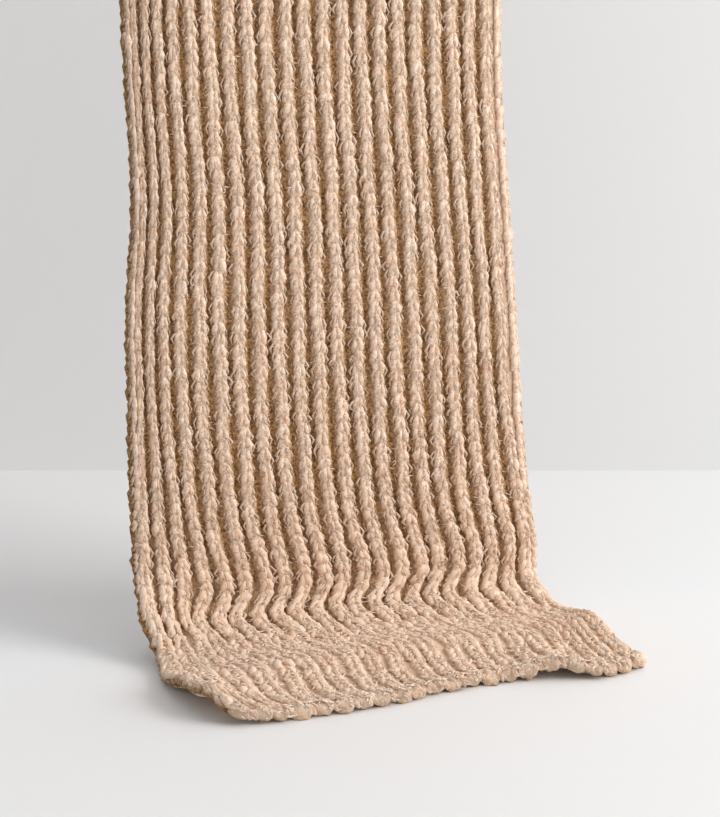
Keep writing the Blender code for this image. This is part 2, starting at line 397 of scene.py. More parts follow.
EDGE_ARC = 9.7  # where the panel begins, past its beaded edge
STRETCHES = (
    Stretch("lying_end", EDGE_ARC, 70.0, ribbed_back=False),
    Stretch("slumped_bend", 70.0, 212.0),
    Stretch("front_hang", 212.0, FORM.fold_start),
    Stretch("rail_fold", FORM.fold_start, FORM.fold_end),
    Stretch("back_hang", FORM.fold_end, FORM.length - EDGE_ARC),
)


# --------------------------------------------------------------------------- finishes


class NodeGraph:
    """A material's nodes, added and linked by short calls."""

    def __init__(self, name: str) -> None:
        """Start a new material with a plain Principled shader.

        Args:
            name: The material's name.
        """
        self.material = bpy.data.materials.new(name)
        self.material.use_nodes = True
        self.nodes = self.material.node_tree.nodes
        self.links = self.material.node_tree.links
        self.shader = self.nodes["Principled BSDF"]

    def add(self, kind: str, inputs: dict[str | int, Any] | None = None, **options: Any) -> Any:
        """Add a node.

        Args:
            kind: The node's type, without its "ShaderNode" prefix.
            inputs: What "feed" gives to each input, by its name or number.
            **options: The node's own properties.

        Returns:
            The new node.
        """
        node = self.nodes.new("ShaderNode" + kind)
        for option, value in options.items():
            setattr(node, option, value)
        for key, value in (inputs or {}).items():
            self.feed(node.inputs[key], value)
        return node

    def feed(self, socket: bpy.types.NodeSocket, value: Any) -> None:
        """Give an input a number or a colour, or link it to a socket.

        Args:
            socket: The input.
            value: A number, a colour's three numbers, or another node's output.
        """
        if isinstance(value, bpy.types.NodeSocket):
            self.links.new(value, socket)
        else:
            socket.default_value = (*value, 1.0) if isinstance(value, tuple) else value

    def math(self, operation: str, first: Any, second: Any, third: Any = 0.0) -> Any:
        """The result of a Math node on two or three values or sockets."""
        return self.add("Math", {0: first, 1: second, 2: third}, operation=operation).outputs[0]

    def blend(self, share: Any, low: Any, high: Any) -> Any:
        """A colour between two others."""
        inputs = {0: share, 6: low, 7: high}
        return self.add("Mix", inputs, data_type="RGBA", clamp_result=False).outputs[2]

    def noise(self, vector: Any, scale: float, detail: float = 2.0, roughness: float = 0.5) -> Any:
        """A noise pattern's value, from 0 to 1."""
        inputs = {"Vector": vector, "Scale": scale, "Detail": detail, "Roughness": roughness}
        return self.add("TexNoise", inputs).outputs["Fac"]

    def spread(self, value: Any, low: float, high: float, start: float = 0.0) -> Any:
        """A value from low to high stretched to run from a start to 1, and held there beyond."""
        inputs = {"Value": value, "From Min": low, "From Max": high, "To Min": start}
        return self.add("MapRange", inputs, clamp=True).outputs["Result"]


@dataclass(frozen=True)
class WoolFinish:
    """A brushed, slightly hairy wool yarn in mottled camel beige.

    The fibres, a mottling, small flecks and each length's own tone set the colour between "deep"
    and "pale", by the shares given. Blush patches and flecks lie over that, and the dim colours of
    a painted shade take over where the yarn lies deep, most in the valleys. A band is the part of a
    noise over which something fades in.
    """

    name: str
    pale: Colour = (0.945, 0.75, 0.595)
    deep: Colour = (0.68, 0.445, 0.28)
    # painted shade: the dim colours of the yarn where it lies deep
    shaded_deep: Colour = (0.20, 0.082, 0.021)
    shaded_pale: Colour = (0.74, 0.41, 0.165)
    light_fleck: Colour = (1.0, 0.92, 0.83)
    dark_fleck: Colour = (0.30, 0.175, 0.10)
    blush: Colour = (0.93, 0.66, 0.49)
    fibres_round: float = 5.0
    fibre_stretch: float = 0.3
    twist: float = 0.055
    mottle_size: float = 6.0
    blush_size: float = 10.2
    fleck_size: float = 1.6
    least_shade: float = 0.18
    fibre_share: float = 0.55
    mottle_share: float = 0.30
    fleck_share: float = 0.22
    tone_share: float = 0.25
    fibre_noise: tuple[float, float] = (5.0, 0.7)  # a noise's detail and roughness
    fleck_noise: tuple[float, float] = (3.0, 0.6)
    blush_noise: tuple[float, float] = (2.0, 0.6)
    shade_band: tuple[float, float] = (0.3, 0.7)
    blush_band: tuple[float, float] = (0.50, 0.64)
    light_band: tuple[float, float] = (0.54, 0.64)
    dark_band: tuple[float, float] = (0.41, 0.35)
    blushes: float = 0.6
    light_flecks: float = 0.52
    dark_flecks: float = 0.55
    lying_flecks: float = 0.3  # how much of the flecks is left where the scarf lies
    lying_to: float = -1.0  # the height, in metres, up to which it does
    hanging_from: float = -0.93
    # how the fibres and flecks streak the painted shade
    shaded_fibres: float = 0.5
    shaded_fibre_band: tuple[float, float] = (0.35, 0.65)
    shaded_fleck_band: tuple[float, float] = (0.40, 0.60)
    fibre_relief: float = 0.8
    fleck_relief: float = 0.7
    roughness: float = 0.95
    specular: float = 0.15
    sheen: float = 0.18
    sheen_roughness: float = 0.5
    sheen_tint: Colour = (1.0, 0.9, 0.8)
    bump: float = 0.9
    bump_height: float = 0.0008

    def make(self) -> bpy.types.Material:
        """Build the material.

        Returns:
            A material that reads the "yarn" UV map, the "tone" attribute, and the attribute that holds
            each point's painted shade.
        """
        graph = NodeGraph(self.name)
        place = graph.add("TexCoord").outputs["Object"]
        yarn = graph.add("SeparateXYZ", {"Vector": graph.add("UVMap", uv_map="yarn").outputs["UV"]})
        tone = graph.add("Attribute", attribute_name="tone").outputs["Fac"]
        # the painted shade, deepest in the valleys
        painted_shade = graph.add("Attribute", attribute_name="painted_shade").outputs["Fac"]
        turned = graph.math("MULTIPLY_ADD", yarn.outputs["Y"], self.twist, yarn.outputs["X"])
        around = graph.math("MULTIPLY", turned, self.fibres_round)
        along = graph.math("MULTIPLY", yarn.outputs["Y"], self.fibre_stretch)
        strand = graph.add("CombineXYZ", {"X": around, "Y": along, "Z": tone}).outputs["Vector"]
        fibres = graph.noise(strand, 1.0, *self.fibre_noise)
        mottle = graph.noise(place, 1.0 / (self.mottle_size * MM), *self.fleck_noise)
        flecks = graph.noise(place, 1.0 / (self.fleck_size * MM), *self.fleck_noise)
        patches = graph.noise(place, 1.0 / (self.blush_size * MM), *self.blush_noise)
        shade: Any = self.least_shade
        layers = ((fibres, self.fibre_share), (mottle, self.mottle_share), (flecks, self.fleck_share))
        for noise, share in layers:
            shade = graph.math("MULTIPLY_ADD", graph.spread(noise, *self.shade_band), share, shade)
        shade = graph.math("MULTIPLY_ADD", tone, self.tone_share, shade)
        wool = graph.blend(graph.spread(shade, 0.0, 1.0), self.deep, self.pale)
        height = graph.add("SeparateXYZ", {"Vector": place}).outputs["Z"]
        calm = graph.spread(height, self.lying_to, self.hanging_from, self.lying_flecks)
        for noise, band, strength, seen, colour in (
            (patches, self.blush_band, self.blushes, 1.0, self.blush),
            (flecks, self.light_band, self.light_flecks, calm, self.light_fleck),
            (flecks, self.dark_band, self.dark_flecks, calm, self.dark_fleck),
        ):
            share = graph.math("MULTIPLY", graph.spread(noise, *band), strength)
            wool = graph.blend(graph.math("MULTIPLY", share, seen), wool, colour)
        # painted shade: a dim colour, streaked by the fibres and flecks
        strands = graph.spread(fibres, *self.shaded_fibre_band)
        strands = graph.math("MULTIPLY_ADD", strands, self.shaded_fibres, -self.shaded_fibres / 2.0)
        strands = graph.math("ADD", strands, graph.spread(flecks, *self.shaded_fleck_band))
        dim = graph.blend(graph.spread(strands, 0.0, 1.0), self.shaded_deep, self.shaded_pale)
        relief = graph.math("MULTIPLY", fibres, self.fibre_relief)
        relief = graph.math("MULTIPLY_ADD", flecks, self.fleck_relief, relief)
        raised = {"Strength": self.bump, "Distance": self.bump_height, "Height": relief}
        bump = graph.add("Bump", raised)
        # the painted shade takes over from the wool colour where the yarn lies deep
        for name, value in {
            "Base Color": graph.blend(graph.spread(painted_shade, 0.0, 1.0), wool, dim),
            "Normal": bump.outputs["Normal"],
            "Roughness": self.roughness,
            "Specular IOR Level": self.specular,
            "Sheen Weight": self.sheen,
            "Sheen Roughness": self.sheen_roughness,
            "Sheen Tint": self.sheen_tint,
        }.items():
            graph.feed(graph.shader.inputs[name], value)
        return graph.material


RIB_WOOL = WoolFinish("rib_wool")
EDGE_WOOL = WoolFinish("edge_wool", fleck_size=1.7, bump=1.0, bump_height=0.0015)
GROUND_WOOL = WoolFinish(
    "ground_wool",
    # painted shade in the ground's valleys, darker than on the yarn
    shaded_deep=(0.135, 0.058, 0.015),
    shaded_pale=(0.55, 0.295, 0.105),
    fibres_round=13.0,
    fibre_stretch=0.45,
    bump_height=0.0010,
)
LOOP_WOOL = WoolFinish(
    "loop_wool",
    # painted shade on the loops, lighter and more golden than on the ribs
    shaded_deep=(0.36, 0.20, 0.085),
    shaded_pale=(0.82, 0.57, 0.34),
    light_flecks=0.4,
)
HAIR_WOOL = WoolFinish(
    "hair_wool",
    pale=(0.96, 0.785, 0.64),
    deep=(0.74, 0.50, 0.33),
    # painted shade on hairs that lie deep or away from the crests
    shaded_deep=(0.40, 0.20, 0.075),
    shaded_pale=(0.80, 0.48, 0.24),
    light_flecks=0.35,
    dark_flecks=0.0,
    sheen=0.0,
    bump=0.15,
)


@dataclass(frozen=True)
class PlainFinish:
    """A matt, faintly mottled finish for the studio, clear from behind where it is one-sided."""

    name: str
    colour: Colour
    roughness: float = 0.7
    mottle: float = 0.985
    mottle_scale: float = 3.0
    one_sided: bool = False

    def make(self) -> bpy.types.Material:
        """Build the material.

        Returns:
            The material.
        """
        graph = NodeGraph(self.name)
        cloud = graph.noise(graph.add("TexCoord").outputs["Object"], self.mottle_scale)
        darker = tuple(channel * self.mottle for channel in self.colour)
        graph.feed(graph.shader.inputs["Base Color"], graph.blend(cloud, darker, self.colour))
        graph.feed(graph.shader.inputs["Roughness"], self.roughness)
        if self.one_sided:
            behind = graph.add("NewGeometry").outputs["Backfacing"]
            clear = graph.add("BsdfTransparent").outputs["BSDF"]
            either = graph.add("MixShader", {0: behind, 1: graph.shader.outputs["BSDF"], 2: clear})
            graph.feed(graph.nodes["Material Output"].inputs["Surface"], either.outputs["Shader"])
        return graph.material


# --------------------------------------------------------------------------- mesh making


@dataclass
class MeshParts:
    """A mesh as arrays: points, triangles, and what its finish reads at each point, the painted shade
    among it.
    """

    points: np.ndarray
    triangles: np.ndarray
    yarn: np.ndarray
    tone: np.ndarray
    # how much painted shade each point gets, from 0 on a rib to 1 deep in a valley
    painted_shade: np.ndarray

    def joined(self, other: "MeshParts") -> "MeshParts":
        """This mesh and another as one.

        Args:
            other: The other mesh.

        Returns:
            The two together.
        """
        return MeshParts(
            np.concatenate((self.points, other.points)),
            np.concatenate((self.triangles, other.triangles + len(self.points))),
            np.concatenate((self.yarn, other.yarn)),
            np.concatenate((self.tone, other.tone)),
            np.concatenate((self.painted_shade, other.painted_shade)),
        )

    def make(self, name: str, material: bpy.types.Material, slot: Slot = Slot.RIBS) -> bpy.types.Object:
        """Turn the arrays into a piece that rides with the scarf.

        Args:
            name: The piece's name.
            material: Its finish.
            slot: The record's slot that the finish stands for. Not used.

        Returns:
            The new object.
        """
        mesh = bpy.data.meshes.new(name)
        mesh.vertices.add(len(self.points))
        mesh.vertices.foreach_set("co", self.points.astype(np.float32).ravel())
        count = len(self.triangles)
        mesh.loops.add(3 * count)
        mesh.loops.foreach_set("vertex_index", self.triangles.astype(np.int32).ravel())
        mesh.polygons.add(count)
        mesh.polygons.foreach_set("loop_start", np.arange(0, 3 * count, 3, dtype=np.int32))
        mesh.update(calc_edges=True)
        mesh.validate()
        mesh.polygons.foreach_set("use_smooth", np.ones(len(mesh.polygons), bool))
        corners = np.zeros(len(mesh.loops), np.int32)
        mesh.loops.foreach_get("vertex_index", corners)
        layer = mesh.uv_layers.new(name="yarn")
        layer.data.foreach_set("uv", self.yarn[corners].astype(np.float32).ravel())
        # the tone, and the painted shade, as point attributes
        for attribute, values in (("tone", self.tone), ("painted_shade", self.painted_shade)):
            made = mesh.attributes.new(attribute, "FLOAT", "POINT")
            made.data.foreach_set("value", values.astype(np.float32))
        mesh.materials.append(material)
        piece = bpy.data.objects.new(name, mesh)
        bpy.context.scene.collection.objects.link(piece)
        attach(piece, BODY)
        LOG.info("%s: %d triangles", name, count)
        return piece


@dataclass(frozen=True)
class YarnLength:
    """A short round length of yarn with closed ends, modelled once.

    "section" holds each point's place in the yarn's own section, sideways and outwards, and
    "along" runs from 0 at its start to 1 at its end.
    """

    section: np.ndarray
    along: np.ndarray
    triangles: np.ndarray

    @staticmethod
    def taken(solid: bpy.types.Object) -> tuple[np.ndarray, np.ndarray]:
        """Take a modelled solid's shape and remove the solid.

        Args:
            solid: The solid, with triangles only, in any order.

        Returns:
            Its points, and its triangles in the order of their corners' numbers.
        """
        points = np.array([vertex.co for vertex in solid.data.vertices], float)
        triangles = np.array([face.vertices[:] for face in solid.data.polygons], int)
        bpy.data.objects.remove(solid)
        turns = (triangles.argmin(axis=1)[:, None] + np.arange(3)) % 3
        triangles = np.take_along_axis(triangles, turns, axis=1)
        return points, triangles[np.lexsort(triangles.T[::-1])]

    @classmethod
    def model(
        cls, sides: int, rings: int, fullness: float = 0.4, bury: float | None = None
    ) -> "YarnLength":
        """Shape a sphere into a sausage, or into half of one with a flat, buried back.

        Args:
            sides: The sides of a whole section.
            rings: The bands of faces along it.
            fullness: 0.5 gives an oval; less keeps the yarn thick towards its ends.
            bury: How far a flat back lies under the yarn's middle, in radii, or None for a whole one.

        Returns:
            The modelled length.
        """
        bpy.ops.object.select_all(action="DESELECT")
        bpy.ops.mesh.primitive_uv_sphere_add(segments=sides, ring_count=rings, radius=1.0)
        ball = bpy.context.object
        bpy.ops.object.mode_set(mode="EDIT")
        bpy.ops.mesh.select_all(action="SELECT")
        if bury is not None:
            cut = {"plane_co": (0, 0, 0), "plane_no": (0, 1, 0), "threshold": 0.001}
            bpy.ops.mesh.bisect(clear_inner=True, use_fill=True, **cut)
            bpy.ops.mesh.select_all(action="SELECT")
        bpy.ops.mesh.quads_convert_to_tris()
        bpy.ops.object.mode_set(mode="OBJECT")
        points, triangles = cls.taken(ball)
        size = np.sqrt(np.maximum(1.0 - points[:, 2] ** 2, 0.0))
        fuller = np.where(size > TINY, np.maximum(size, TINY) ** (2.0 * fullness - 1.0), 0.0)
        section = points[:, :2] * fuller[:, None]
        if bury is not None:
            section[(points[:, 1] < TINY) & (size > TINY), 1] -= bury
        return cls(section, (points[:, 2] + 1.0) / 2.0, triangles)

    @classmethod
    def model_hair(cls) -> "YarnLength":
        """Shape a cone into a thin hair, three-sided and pointed at both ends.

        Returns:
            The modelled hair.
        """
        bpy.ops.object.select_all(action="DESELECT")
        bpy.ops.mesh.primitive_cone_add(vertices=3, radius1=1.0, depth=1.0, location=(0, 0, 0.5))
        cone = bpy.context.object
        bpy.ops.object.transform_apply(location=True)
        bpy.ops.object.mode_set(mode="EDIT")
        bpy.ops.mesh.select_mode(type="FACE")
        bpy.ops.mesh.select_all(action="DESELECT")
        bpy.ops.object.mode_set(mode="OBJECT")
        for face in cone.data.polygons:
            face.select = face.normal.z < -0.9
        bpy.ops.object.mode_set(mode="EDIT")
        bpy.ops.mesh.poke()
        bpy.ops.object.mode_set(mode="OBJECT")
        points, triangles = cls.taken(cone)
        poked = (np.abs(points[:, 2]) < TINY) & (np.hypot(points[:, 0], points[:, 1]) < 0.1)
        points[poked, 2] = -1.0
        return cls(points[:, :2], (points[:, 2] + 1.0) / 2.0, triangles)


@dataclass
class Strands:
    """Many lengths of yarn on the cloth, as arrays with a row for each.

    A strand runs on a curve from "start" by way of "bow" to "end", each (arc, rib, depth).
    "sunlit" is 1 for a strand that stays pale however deep it lies, and 0 for one that doesn't.
    """

    start: np.ndarray
    bow: np.ndarray
    end: np.ndarray
    radius: np.ndarray
    face: Face = Face.OUTER
    taper: float = 0.0
    sunlit: Numbers = 0.0
    tone: Numbers = 0.0

    def lay(self, yarn: YarnLength, seed: int, roughness: float = 0.09) -> MeshParts:
        """Bend a copy of the modelled length along each strand.

        Args:
            yarn: The modelled length.
            seed: Starts the random unevenness.
            roughness: How uneven the yarn's thickness is, as a share.

        Returns:
            All the copies as one mesh.
        """
        random = np.random.default_rng(seed)
        count, size = len(self.start), len(yarn.along)
        pitch = FORM.pitch(self.bow[:, 0])[:, None]
        scale = np.stack((np.ones_like(pitch), pitch, np.ones_like(pitch)), axis=-1)
        share = yarn.along[None, :, None]
        start, bow, end = (at[:, None, :] * scale for at in (self.start, self.bow, self.end))
        centre = start * (1 - share) ** 2 + 2 * bow * share * (1 - share) + end * share**2
        run = 2 * (bow - start) * (1 - share) + 2 * (end - bow) * share
        run = run / np.linalg.norm(run, axis=-1, keepdims=True)
        aside = np.cross(run, np.array((0.0, 0.0, self.face.value)))
        aside = aside / np.linalg.norm(aside, axis=-1, keepdims=True)
        upward = np.cross(aside, run)
        radius = self.radius[:, None] * (1.0 + self.taper * (2.0 * yarn.along[None, :] - 1.0))
        radius = radius * (1.0 + roughness * random.standard_normal((count, size)))
        offset = aside * yarn.section[None, :, :1] + upward * yarn.section[None, :, 1:]
        spot = ((centre + offset * radius[..., None]) / scale).reshape(-1, 3)
        step = (np.arange(count) * size)[:, None, None]
        length = np.linalg.norm((self.end - self.start) * scale[:, 0], axis=-1)
        first = random.uniform(0.0, LONGEST_YARN, count)[:, None]
        along = first + yarn.along[None, :] * length[:, None]
        around = np.broadcast_to(yarn.section[None, :, 0] * 0.5 + 0.5, along.shape)
        shadow = np.repeat(1.0 - np.broadcast_to(self.sunlit, count), size)
        return MeshParts(
            points=FORM.place(spot[:, 0], spot[:, 1], spot[:, 2]),
            triangles=(yarn.triangles[None, :, :] + step).reshape(-1, 3),
            yarn=np.stack((around, along), axis=-1).reshape(-1, 2),
            tone=np.repeat(random.standard_normal(count) * TONE_UNEVEN + self.tone, size),
            # painted shade: darker the deeper a strand lies, less for sunlit strands
            painted_shade=LAY.painted_shade(spot[:, 0], spot[:, 2] * self.face.value) * shadow,
        )


# --------------------------------------------------------------------------- the scarf's parts


@dataclass(frozen=True)
class KnitLay:
    """How the knit lies along the scarf: stretched where it hangs, slack and full at its ends.

    "row" is the height of a stitch, "plump" thickens the yarn, "wide" spreads a stitch's legs,
    "uneven" scatters them, "dark" says how much of the light the valleys lose, "fill" how far the
    valleys are filled, and "hairs" how many loose fibres a stitch has.
    """

    first_row: float = 10.6
    lit_from: float = 2.7  # the depth above which the yarn is fully lit
    dark_at: float = -0.6
    plumped: float = 2.0  # how far yarn that is twice as plump stands out
    table: Table = Table(
        "arc row plump wide uneven dark fill hairs",
        (
            (0, 6.4, 1.26, 1.20, 0.9, 0.34, 2.0, 7),
            (46, 6.2, 1.24, 1.25, 1.1, 0.30, 2.6, 8),
            (70, 6.0, 1.22, 1.75, 1.6, 0.25, 3.3, 10),
            (92, 6.0, 1.20, 2.15, 1.9, 0.22, 3.5, 12),
            (112, 6.0, 1.24, 2.10, 1.9, 0.26, 3.4, 12),
            (122, 6.0, 1.32, 1.60, 1.8, 0.50, 2.6, 11),
            (130, 6.1, 1.46, 1.20, 1.8, 0.90, 1.2, 12),
            (144, 6.2, 1.48, 1.12, 1.6, 1.00, 0.6, 11),
            (165, 6.5, 1.34, 1.06, 1.4, 0.90, 0.6, 9),
            (230, 7.2, 1.10, 1.0, 1.0, 1.0, 0, 8),
            (330, 7.6, 1.0, 1.0, 1.0, 1.0, 0, 8),
            (480, 8.0, 1.0, 1.0, 1.0, 1.0, 0, 8),
            (640, 8.3, 1.0, 1.0, 1.0, 1.0, 0, 6),
            (1141, 8.7, 1.0, 1.0, 1.0, 1.0, 0, 4),
            (1400, 8.4, 1.0, 1.0, 1.0, 1.0, 0, 4),
            (1700, 7.2, 1.15, 1.05, 1.2, 0.8, 0.8, 6),
        ),
    )

    def read(self, column: str, arc: Numbers) -> np.ndarray:
        """A column's values at these arcs."""
        return self.table.read(column, arc)

    def painted_shade(self, arc: np.ndarray, depth: np.ndarray) -> np.ndarray:
        """How much painted shade the yarn gets at these depths, from 0 on a rib to 1 in a valley."""
        share = np.clip((self.lit_from - depth) / (self.lit_from - self.dark_at), 0.0, 1.0)
        return share * self.read("dark", arc)

    def rows(self, stretch: Stretch) -> np.ndarray:
        """The arc of each row of stitches on one stretch.

        Args:
            stretch: The stretch.

        Returns:
            The arcs, from its start on.
        """
        found = [self.first_row]
        while found[-1] < FORM.length - EDGE_ARC:
            found.append(found[-1] + float(self.read("row", np.array(found[-1]))))
        arcs = np.array(found)
        return arcs[stretch.holds(arcs)]

    def wales(self, face: Face) -> np.ndarray:
        """The rib numbers of the ribs of one face; those of the inner one lie between the others."""
        wales = np.arange(FORM.ribs, dtype=float)
        return wales if face is Face.OUTER else wales[:-1] + 0.5


LAY = KnitLay()


@dataclass(frozen=True)
class Ground:
    """The ground of the cloth under its stitches: a thin wall with soft ribs on both faces."""

    material: bpy.types.Material
    crest: float = 3.0
    valley: float = -0.5
    roundness: float = 0.8
    first_rib: float = -0.2
    last_rib: float = 20.2
    shoulder: float = 0.35  # where the wall's shoulder stands, from its selvage to its first point
    shoulder_depth: float = 2.0
    points_per_rib: int = 6
    ring_spacing: float = 9.0
    least_rings: int = 20
    plain_to: float = 72.0
    ribbed_from: float = 150.0
    relaxed_width: float = 0.27  # in metres
    crease_deg: float = 70.0
    # how much deeper than it lies the wall counts for its painted shade, in millimetres
    shade: float = 0.6

    def outline(self, arc: float, relief: float) -> tuple[np.ndarray, np.ndarray]:
        """Shares of the width, and depths, of the points round the wall.

        Args:
            arc: Where the ring stands along the cloth.
            relief: 0 for a plain back to 1 for a ribbed one.

        Returns:
            The shares and the depths: left tip, front, right tip, back.
        """
        steps = int(round((self.last_rib - self.first_rib) * self.points_per_rib)) + 1
        ribs = np.linspace(self.first_rib, self.last_rib, steps)
        wave = 0.5 + 0.5 * np.cos(2.0 * math.pi * ribs)
        valley = self.valley + float(LAY.read("fill", np.array(arc)))
        rise = self.crest - valley
        front = valley + rise * wave**self.roundness
        ribbed = valley + rise * (1.0 - wave) ** self.roundness
        back = -(FORM.crest + (ribbed - FORM.crest) * relief)
        across = FORM.across_at(np.full(steps, arc), ribs)
        left, right = across[0] * self.shoulder, 1.0 - (1.0 - across[-1]) * self.shoulder
        face = np.concatenate(((left,), across, (right,)))
        high, low = (self.shoulder_depth,), (-self.shoulder_depth,)
        front = np.concatenate((high, front, high))
        back = np.concatenate((low, back, low))
        return (
            np.concatenate(((0.0,), face, (1.0,), face[::-1])),
            np.concatenate(((0.0,), front, (0.0,), back[::-1])),
        )

    def parts(self, stretch: Stretch) -> MeshParts:
        """Loft the wall of one stretch.

        Args:
            stretch: The stretch.

        Returns:
            The closed wall.
        """
        rings = max(math.ceil((stretch.end - stretch.start) / self.ring_spacing), self.least_rings) + 1
        arcs = np.linspace(stretch.start, stretch.end, rings)
        relief = smooth((arcs - self.plain_to) / (self.ribbed_from - self.plain_to))
        outlines = [self.outline(arc, share) for arc, share in zip(arcs, relief)]
        across, depth = (np.stack(part) for part in zip(*outlines))
        size = across.shape[1]
        arc = np.repeat(arcs, size)
        index = np.arange(rings * size).reshape(rings, size)
        beside = np.roll(index, -1, axis=1)
        first = np.stack((index[:-1], beside[:-1], beside[1:]), axis=-1).reshape(-1, 3)
        second = np.stack((index[:-1], beside[1:], index[1:]), axis=-1).reshape(-1, 3)
        caps = (self.cap(index[0], False), self.cap(index[-1], True))
        outwards = np.where(np.arange(size) > size // 2, -depth, depth).ravel()
        return MeshParts(
            points=FORM.place_across(arc, across.ravel(), depth.ravel()),
            triangles=np.concatenate((first, second, *caps)),
            yarn=np.stack((across.ravel() * FORM.ribs, arc), axis=-1),
            tone=np.zeros(len(arc)),
            # painted shade, darker the deeper the wall lies
            painted_shade=LAY.painted_shade(arc, outwards - self.shade),
        )

    def cap(self, ring: np.ndarray, turned: bool) -> np.ndarray:
        """Close one end of the wall between its faces.

        Args:
            ring: The numbers of the end's points.
            turned: Whether the triangles face the other way.

        Returns:
            The triangles.
        """
        half = len(ring) // 2
        over = ring[1:half]
        under = ring[half + 1 :][::-1]
        faces = [(ring[0], over[0], under[0]), (ring[half], under[-1], over[-1])]
        for low in range(half - 2):
            faces.append((over[low], over[low + 1], under[low + 1]))
            faces.append((over[low], under[low + 1], under[low]))
        made = np.array(faces, int)
        return made[:, ::-1] if turned else made

    def build(self, stretch: Stretch) -> bpy.types.Object:
        """Make the wall of one stretch in place of its plain solid.

        Args:
            stretch: The stretch.

        Returns:
            The new piece.
        """
        piece = self.parts(stretch).make(stretch.name + "_ground", self.material)
        piece.data.set_sharp_from_angle(angle=math.radians(self.crease_deg))
        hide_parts(stretch.name)
        return piece


@dataclass(frozen=True)
class Wales:
    """The columns of knit stitches that make the ribs: two slanting legs of yarn a stitch.

    Heights up a stitch are in rows, and places beside a rib's middle in rib pitches.
    """

    material: bpy.types.Material
    yarn: YarnLength
    radius: float = 2.1
    taper: float = 0.05
    overlap: float = 0.76
    bow_up: float = 0.10
    top_aside: float = 0.03
    bow_aside: float = 0.16
    bottom_aside: float = 0.20
    top_depth: float = 1.6
    bow_depth: float = 3.2
    bottom_depth: float = -0.3
    full_fill: float = 5.0  # the filling that would lift a leg's foot as high as its bow
    uneven: float = 0.32
    aside_uneven: float = 0.07
    lift_uneven: float = 0.55
    leg_uneven: float = 0.6
    leg_aside: float = 0.05
    radius_uneven: float = 0.11
    roughness: float = 0.13
    wander: float = 0.05
    wander_length: float = 90.0
    wander_step: float = 2.4
    row_shift: float = 0.18
    row_step: float = 12.9

    def stitches(self, stretch: Stretch, face: Face, seed: int) -> np.ndarray:
        """Where the stitches of one face of a stretch lie, with their own unevenness.

        Args:
            stretch: The stretch.
            face: The face.
            seed: Starts the random unevenness.

        Returns:
            A row (arc, rib, lift, row height) for each stitch.
        """
        random = np.random.default_rng(seed)
        arc, wale = every(LAY.rows(stretch), LAY.wales(face))
        row = LAY.read("row", arc)
        scatter = random.standard_normal((3, len(arc))) * self.uneven * LAY.read("uneven", arc)
        sway = np.sin(arc / self.wander_length * 2.0 * math.pi + wale * self.wander_step) * self.wander
        shift = self.row_shift * np.sin(wale * self.row_step)
        along = arc + row * shift + scatter[0]
        rib = wale + sway + scatter[1] * self.aside_uneven
        return np.stack((along, rib, scatter[2] * self.lift_uneven, row), axis=-1)

    def legs(self, stretch: Stretch, face: Face, seed: int) -> Strands:
        """The legs of every stitch on one face of a stretch.

        Args:
            stretch: The stretch.
            face: The face.
            seed: Starts the random unevenness.

        Returns:
            The legs as strands.
        """
        random = np.random.default_rng(seed + 1)
        arc, wale, lift, row = self.stitches(stretch, face, seed).repeat(2, axis=0).T
        count = len(arc)
        side = np.tile((-1.0, 1.0), count // 2)
        loose = random.standard_normal((3, count)) * self.uneven * self.leg_uneven
        loose = loose * LAY.read("uneven", arc)
        plump = LAY.read("plump", arc)
        wide = LAY.read("wide", arc)
        arc = arc + loose[0]
        wale = wale + loose[1] * self.leg_aside
        lift = lift + loose[2] * self.leg_uneven
        fuller = 0.5 + 0.5 * plump

        def spot(up: Numbers, aside: float, depth: Numbers) -> np.ndarray:
            """A point of each leg."""
            out = (depth * fuller + lift) * face.value
            return spots(arc + up * row, wale + side * aside * wide, out)

        overlap = self.overlap * fuller
        fill = LAY.read("fill", arc)
        foot = self.bottom_depth + (self.bow_depth - self.bottom_depth) * fill / self.full_fill
        return Strands(
            start=spot(overlap, self.top_aside, self.top_depth),
            bow=spot(self.bow_up, self.bow_aside, self.bow_depth),
            end=spot(-overlap, self.bottom_aside, foot),
            radius=self.radius * plump * (1.0 + self.radius_uneven * random.standard_normal(count)),
            face=face,
            taper=self.taper,
        )

    def build(self, stretch: Stretch, face: Face, seed: int) -> bpy.types.Object:
        """Make the wales of one face of a stretch as one piece."""
        parts = self.legs(stretch, face, seed).lay(self.yarn, seed + 2, self.roughness)
        return parts.make(f"{stretch.name}_{face.name.lower()}_wales", self.material)


